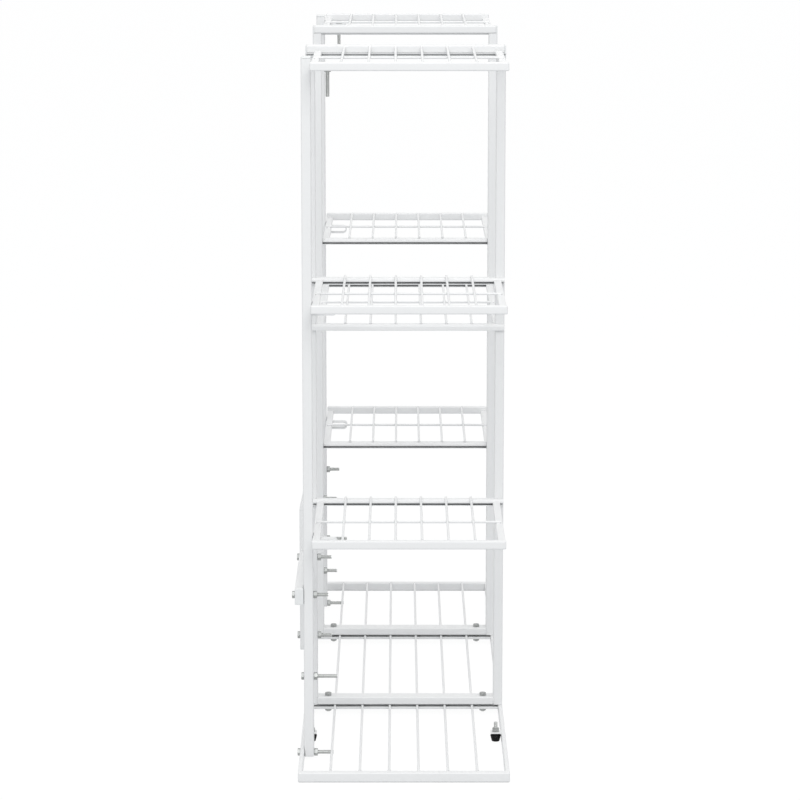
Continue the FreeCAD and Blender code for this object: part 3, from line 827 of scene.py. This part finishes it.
def add_shelf_bars(bm, sizes, end):
    """Slotted bars on a frame, outside its legs and between them, and the channel under its top bar."""
    low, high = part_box(f"frame_{end}_shelf_bars")
    near = end == "near"
    leg_face = frame_span(end)[0 if near else 1]
    inner = [corner.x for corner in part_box(f"frame_{end}_foot_bar")]
    stretches = [(low.y, leg_face), (leg_face, high.y)]
    outside, seat = stretches if near else stretches[::-1]
    for shelf in (f"shelf_{end}_low", "shelf_centre", f"shelf_{end}_middle"):
        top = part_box(shelf)[1].z - sizes.wire
        slot = (low.y, low.y + sizes.slot_depth)
        if near and shelf == "shelf_centre":
            slot = (high.y - sizes.slot_depth, high.y)
        for xs, ys, drop in (((low.x, high.x), outside, 0), (inner, seat, BAR_DROP)):
            add_slotted(bm, sizes, xs, ys, slot, top - drop, ys[0] == low.y)
        for x in inner:
            add_weld(bm, (x, seat[0], top), (x, seat[1], top), sizes.weld * SHEET_WELD)
    half = sizes.sheet / 2
    mouth = low.y if near else high.y
    back = leg_face - half if near else leg_face + half
    bar_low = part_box(f"frame_{end}_top_bar")[0].z
    bottom = bar_low - sizes.slot - half
    top = bar_low + half
    path = bent_path([(mouth, bottom), (back, bottom), (back, top), (mouth, top)], sizes.sheet, FOLD_STEPS)
    add_strip(bm, path, sizes.sheet, RUN_X, low.x, high.x)


def add_foot_bar_welds(bm, sizes, low, high):
    """Beads round both ends of a foot bar, where it meets the legs."""
    for x in (low.x, high.x):
        for y in (low.y, high.y):
            add_weld(bm, (x, y, low.z), (x, y, high.z), sizes.weld * CORNER_WELD)
        add_weld(bm, (x, low.y, high.z), (x, high.y, high.z), sizes.weld)


def add_pinch(bm, sizes, low, high):
    """Top of a strut, squeezed from the tube's section to a flat tongue on the leg."""
    y = (low.y + high.y) / 2
    rings = []
    for share, flat in PINCH_SHARES:
        thick = (high.x - low.x) * flat
        x = high.x - thick / 2
        z = high.z + sizes.pinch * share
        section = round_section(thick, high.y - low.y, min(sizes.tube_corner, thick * EDGE_LIMIT))
        rings.append([Vector((x + u, y + v, z)) for u, v in section])
    add_rings(bm, rings)


def add_tab(bm, sizes, low, high):
    """Flat tab with a round end under a top shelf."""
    radius = (high.y - low.y) / 2
    edge = sizes.bracket_sheet * LIP
    bottom = high.z - sizes.bracket_sheet
    centre = Vector((high.x - radius, low.y + radius, 0))
    rings = []
    for inset, z in ((edge, bottom), (0, bottom + edge), (0, high.z - edge), (edge, high.z)):
        ring = [Vector((low.x, low.y + inset, z))]
        for step in range(TAB_STEPS + 1):
            turn = math.pi * (step / TAB_STEPS - 0.5)
            spoke = ACROSS * math.cos(turn) + AWAY * math.sin(turn)
            ring.append(centre + spoke * (radius - inset) + UP * z)
        ring.append(Vector((low.x, high.y - inset, z)))
        rings.append(ring)
    add_rings(bm, rings)
    add_weld(bm, (low.x, low.y, high.z), (low.x, high.y, high.z), sizes.weld * SHEET_WELD)


def add_cap(bm, sizes, node, run, side):
    """Flange outside a tube's end and the plug inside it."""
    low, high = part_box(node)
    face = high[run] if side > 0 else low[run]
    for margin, inward, outward, edge in ((0, 0, sizes.cap_flange, CAP_EDGE),
                                          (sizes.tube_wall + PLUG_ROOM, sizes.cap_plug, HOLD, PLUG_EDGE)):
        corner_low = Vector([value + margin for value in low])
        corner_high = Vector([value - margin for value in high])
        corner_low[run], corner_high[run] = sorted((face - side * inward, face + side * outward))
        add_bar(bm, corner_low, corner_high, edge)


# operators

class PLANTSHELF_OT_platform(bpy.types.Operator):
    """Builds the three welded wire panels of the platform"""
    bl_idname = "plantshelf.platform"
    bl_label = "Platform"

    def execute(self, context):
        sizes = context.scene.plant_shelf_sizes
        for node in ("platform_near", "platform_middle", "platform_far"):
            bm = bmesh.new()
            add_panel(bm, sizes, node)
            if node == "platform_near":
                add_foot_tabs(bm, sizes, *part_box(node))
            set_down(context, node, "steel", bm, powder_coated_steel)
        return {"FINISHED"}


class PLANTSHELF_OT_frames(bpy.types.Operator):
    """Builds the two upright frames with their bars"""
    bl_idname = "plantshelf.frames"
    bl_label = "Frames"

    def execute(self, context):
        sizes = context.scene.plant_shelf_sizes
        tubes = {"back_leg": RUN_Z, "front_leg": RUN_Z, "top_bar": RUN_X, "foot_bar": RUN_X}
        for end in ENDS:
            for name, run in tubes.items():
                node = f"frame_{end}_{name}"
                low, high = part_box(node)
                bm = bmesh.new()
                add_tube(bm, sizes, low, high, run)
                if name == "foot_bar":
                    add_foot_bar_welds(bm, sizes, low, high)
                set_down(context, node, "steel", bm, powder_coated_steel)
            bm = bmesh.new()
            add_shelf_bars(bm, sizes, end)
            set_down(context, f"frame_{end}_shelf_bars", "steel", bm, powder_coated_steel)
        return {"FINISHED"}


class PLANTSHELF_OT_posts(bpy.types.Operator):
    """Builds the end posts, the ties and the struts behind them"""
    bl_idname = "plantshelf.posts"
    bl_label = "Posts and braces"

    def execute(self, context):
        sizes = context.scene.plant_shelf_sizes
        tubes = {"post": RUN_Z, "back_strut": RUN_Z, "back_tie": RUN_Y}
        for end in ENDS:
            for name, run in tubes.items():
                node = f"{name}_{end}"
                low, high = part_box(node)
                bm = bmesh.new()
                if name == "back_strut":
                    high = high - UP * sizes.pinch
                    add_pinch(bm, sizes, low, high)
                add_tube(bm, sizes, low, high, run)
                set_down(context, node, "steel", bm, powder_coated_steel)
        return {"FINISHED"}


class PLANTSHELF_OT_shelves(bpy.types.Operator):
    """Builds the six end shelves and the centre shelf"""
    bl_idname = "plantshelf.shelves"
    bl_label = "Shelves"

    def execute(self, context):
        sizes = context.scene.plant_shelf_sizes
        for node in [f"shelf_{end}_{level}" for end in ENDS for level in LEVELS] + ["shelf_centre"]:
            bm = bmesh.new()
            add_shelf(bm, sizes, node)
            set_down(context, node, "steel", bm, powder_coated_steel)
        return {"FINISHED"}


class PLANTSHELF_OT_brackets(bpy.types.Operator):
    """Builds the folded brackets that carry the shelves on the end posts"""
    bl_idname = "plantshelf.brackets"
    bl_label = "Brackets"

    def execute(self, context):
        sizes = context.scene.plant_shelf_sizes
        half = sizes.bracket_sheet / 2
        nose = sizes.bracket / 2 - half - NOSE_FLAT
        for end in ENDS:
            node = f"shelf_brackets_{end}"
            low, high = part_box(node)
            bm = bmesh.new()
            add_tab(bm, sizes, low, high)
            for level in LEVELS[:2]:
                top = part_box(f"shelf_{end}_{level}")[0].z
                bottom = top - sizes.bracket
                path = bent_path([(low.x, bottom + half), (high.x - half, bottom + half),
                                  (high.x - half, top - half), (low.x, top - half)], nose, BRACKET_STEPS)
                add_strip(bm, path, sizes.bracket_sheet, RUN_Y, low.y, high.y)
                for z, share in ((bottom, CORNER_WELD), (top, SHEET_WELD)):
                    add_weld(bm, (low.x, low.y, z), (low.x, high.y, z), sizes.weld * share)
            set_down(context, node, "steel", bm, powder_coated_steel)
        return {"FINISHED"}


class PLANTSHELF_OT_caps(bpy.types.Operator):
    """Builds the plugs in the open tube ends"""
    bl_idname = "plantshelf.caps"
    bl_label = "Tube caps"

    def execute(self, context):
        sizes = context.scene.plant_shelf_sizes
        bm = bmesh.new()
        for end, outward in zip(ENDS, (-1, 1)):
            add_cap(bm, sizes, f"post_{end}", RUN_Z, 1)
            add_cap(bm, sizes, f"back_strut_{end}", RUN_Z, -1)
            add_cap(bm, sizes, f"back_tie_{end}", RUN_Y, outward)
            for side in (-1, 1):
                add_cap(bm, sizes, f"frame_{end}_top_bar", RUN_X, side)
        set_down(context, "tube_caps", "plastic", bm, moulded_polyethylene)
        return {"FINISHED"}


class PLANTSHELF_OT_bolts(bpy.types.Operator):
    """Builds the threaded hexagon bolts"""
    bl_idname = "plantshelf.bolts"
    bl_label = "Bolts"

    def execute(self, context):
        sizes = context.scene.plant_shelf_fasteners
        bm = bmesh.new()
        for place in post_bolts(context):
            add_bolt(bm, sizes, place, ACROSS, sizes.post_bolt)
        set_down(context, "post_bolts", "zinc", bm, bright_zinc_steel, dull_zinc_steel)
        for node, places in (("platform_bolts", foot_bar_bolts(context)), ("bracket_bolts", bracket_bolts())):
            low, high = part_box(node)
            seat = high.z - sizes.head
            bm = bmesh.new()
            for x, y in places:
                add_bolt(bm, sizes, (x, y, seat), -UP, seat - low.z)
            set_down(context, node, "zinc", bm, bright_zinc_steel, dull_zinc_steel)
        return {"FINISHED"}


class PLANTSHELF_OT_nuts(bpy.types.Operator):
    """Builds the hexagon nuts"""
    bl_idname = "plantshelf.nuts"
    bl_label = "Nuts"

    def execute(self, context):
        sizes = context.scene.plant_shelf_fasteners
        bore = sizes.thread + NUT_ROOM
        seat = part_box("post_nuts")[0].x
        bm = bmesh.new()
        for _, y, z in post_bolts(context):
            add_hexagon(bm, sizes, (seat, y, z), ACROSS, sizes.nut, bore)
        set_down(context, "post_nuts", "zinc", bm, dull_zinc_steel)
        feet = [middle_of(f"foot_{side}_pad").xy for side in SIDES]
        for node, places, height in (("platform_nuts", foot_bar_bolts(context), sizes.thin_nut),
                                     ("bracket_nuts", bracket_bolts(), sizes.nut),
                                     ("foot_nuts", feet, sizes.nut)):
            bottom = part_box(node)[0].z
            bm = bmesh.new()
            for x, y in places:
                add_hexagon(bm, sizes, (x, y, bottom), UP, height, bore)
            set_down(context, node, "zinc", bm, dull_zinc_steel)
        return {"FINISHED"}


class PLANTSHELF_OT_feet(bpy.types.Operator):
    """Builds the levelling feet: a moulded pad on a screw"""
    bl_idname = "plantshelf.feet"
    bl_label = "Levelling feet"

    def execute(self, context):
        sizes = context.scene.plant_shelf_fasteners
        bore = sizes.thread / 2 + SCREW_ROOM
        for side in SIDES:
            body = f"foot_{side}"
            low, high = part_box(f"{body}_pad")
            x, y = middle_of(f"{body}_pad").xy
            radius = (high.x - low.x) / 2
            tall = high.z - low.z
            profile = [(radius * wide, tall * rise) for wide, rise in FOOT_SHARES]
            profile += [(bore, tall), (bore, tall * FOOT_FLOOR)]
            bm = bmesh.new()
            add_turned(bm, (x, y, low.z), UP, profile, FOOT_SIDES)
            set_down(context, f"{body}_pad", "rubber", bm, moulded_rubber, body=body)
            low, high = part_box(f"{body}_screw")
            bm = bmesh.new()
            add_thread(bm, sizes, (x, y, low.z), UP, high.z - low.z)
            set_down(context, f"{body}_screw", "zinc", bm, bright_zinc_steel, body=body)
        return {"FINISHED"}


class PLANTSHELF_OT_stage(bpy.types.Operator):
    """Sets up the white floor, the soft light and the camera"""
    bl_idname = "plantshelf.stage"
    bl_label = "Stage"

    def execute(self, context):
        scene = context.scene
        scene.view_settings.view_transform = "Standard"
        self.lay_floor(scene)
        self.light(scene)
        self.aim(scene)
        return {"FINISHED"}

    def lay_floor(self, scene):
        """Pale paper that keeps the object's shadow and is shown almost white."""
        bm = bmesh.new()
        bmesh.ops.create_grid(bm, x_segments=4, y_segments=4, size=FLOOR_HALF)
        mesh = bpy.data.meshes.new("studio_floor")
        bm.to_mesh(mesh)
        bm.free()
        floor = bpy.data.objects.new("studio_floor", mesh)
        floor.location.z = -FLOOR_DROP
        scene.collection.objects.link(floor)
        paper = bpy.data.materials.new("studio_paper")
        tree = empty_tree(paper)
        share = add_node(tree, "ShaderNodeMath", {0: shown_white(tree), 1: FLOOR_GLOW_SHARE},
                         operation="MULTIPLY")
        matt = add_node(tree, "ShaderNodeBsdfDiffuse", {"Color": linear(FLOOR_PAPER)})
        white = add_node(tree, "ShaderNodeEmission", {"Color": linear(WHITE), "Strength": FLOOR_GLOW})
        mix = add_node(tree, "ShaderNodeMixShader",
                       {0: (share, "Value"), 1: (matt, "BSDF"), 2: (white, "Emission")})
        add_node(tree, "ShaderNodeOutputMaterial", {"Surface": (mix, "Shader")})
        mesh.materials.append(paper)

    def light(self, scene):
        """White room and two large soft lamps."""
        world = bpy.data.worlds.new("studio_white")
        scene.world = world
        tree = empty_tree(world)
        fill = add_node(tree, "ShaderNodeBackground", {"Color": linear(ROOM_TINT), "Strength": ROOM_LIGHT})
        white = add_node(tree, "ShaderNodeBackground", {"Color": linear(WHITE), "Strength": 1.0})
        mix = add_node(tree, "ShaderNodeMixShader",
                       {0: shown_white(tree), 1: (fill, "Background"), 2: (white, "Background")})
        add_node(tree, "ShaderNodeOutputWorld", {"Surface": (mix, "Shader")})
        for name, power, side, place in LAMPS:
            lamp = bpy.data.lights.new(name, "AREA")
            lamp.energy = power
            lamp.size = side
            item = bpy.data.objects.new(name, lamp)
            item.location = place
            item.rotation_euler = (LAMP_AIM - item.location).to_track_quat("-Z", "Y").to_euler()
            scene.collection.objects.link(item)

    def aim(self, scene):
        """Camera at the photograph's angle, tilted down on the stand."""
        camera = bpy.data.cameras.new("camera")
        camera.sensor_width = SENSOR
        camera.lens = SENSOR * FOCAL_PIXELS / IMAGE_PIXELS
        camera.clip_end = CAMERA_REACH
        item = bpy.data.objects.new("camera", camera)
        item.location = CAMERA_PLACE
        item.rotation_euler = (math.radians(90 - CAMERA_DIP), 0, math.radians(CAMERA_TURN))
        scene.collection.objects.link(item)
        scene.camera = item


class PLANTSHELF_PT_panel(bpy.types.Panel):
    """Lists the pieces of the plant shelf"""
    bl_label = "Plant shelf"
    bl_idname = "PLANTSHELF_PT_panel"
    bl_space_type = "VIEW_3D"
    bl_region_type = "UI"
    bl_category = "Plant shelf"

    def draw(self, context):
        layout = self.layout
        for operator in OPERATORS:
            layout.operator(operator.bl_idname)
        for pointer in GROUPS:
            group = getattr(context.scene, pointer)
            box = layout.box()
            for name in group.__annotations__:
                box.prop(group, name)


GROUPS = {"plant_shelf_sizes": PlantShelfSizes, "plant_shelf_fasteners": PlantShelfFasteners,
          "plant_shelf_finishes": PlantShelfFinishes}
OPERATORS = (PLANTSHELF_OT_stage, PLANTSHELF_OT_platform, PLANTSHELF_OT_frames, PLANTSHELF_OT_posts,
             PLANTSHELF_OT_shelves, PLANTSHELF_OT_brackets, PLANTSHELF_OT_caps, PLANTSHELF_OT_bolts,
             PLANTSHELF_OT_nuts, PLANTSHELF_OT_feet)
CLASSES = (*GROUPS.values(), *OPERATORS, PLANTSHELF_PT_panel)


def register():
    for item in CLASSES:
        bpy.utils.register_class(item)
    for pointer, group in GROUPS.items():
        setattr(bpy.types.Scene, pointer, bpy.props.PointerProperty(type=group))


def unregister():
    for pointer in GROUPS:
        delattr(bpy.types.Scene, pointer)
    for item in reversed(CLASSES):
        bpy.utils.unregister_class(item)


def main():
    register()
    bpy.ops.plantshelf.stage()
    bpy.ops.plantshelf.platform()
    bpy.ops.plantshelf.frames()
    bpy.ops.plantshelf.posts()
    bpy.ops.plantshelf.shelves()
    bpy.ops.plantshelf.brackets()
    bpy.ops.plantshelf.caps()
    bpy.ops.plantshelf.bolts()
    bpy.ops.plantshelf.nuts()
    bpy.ops.plantshelf.feet()


if __name__ == "__main__":
    main()
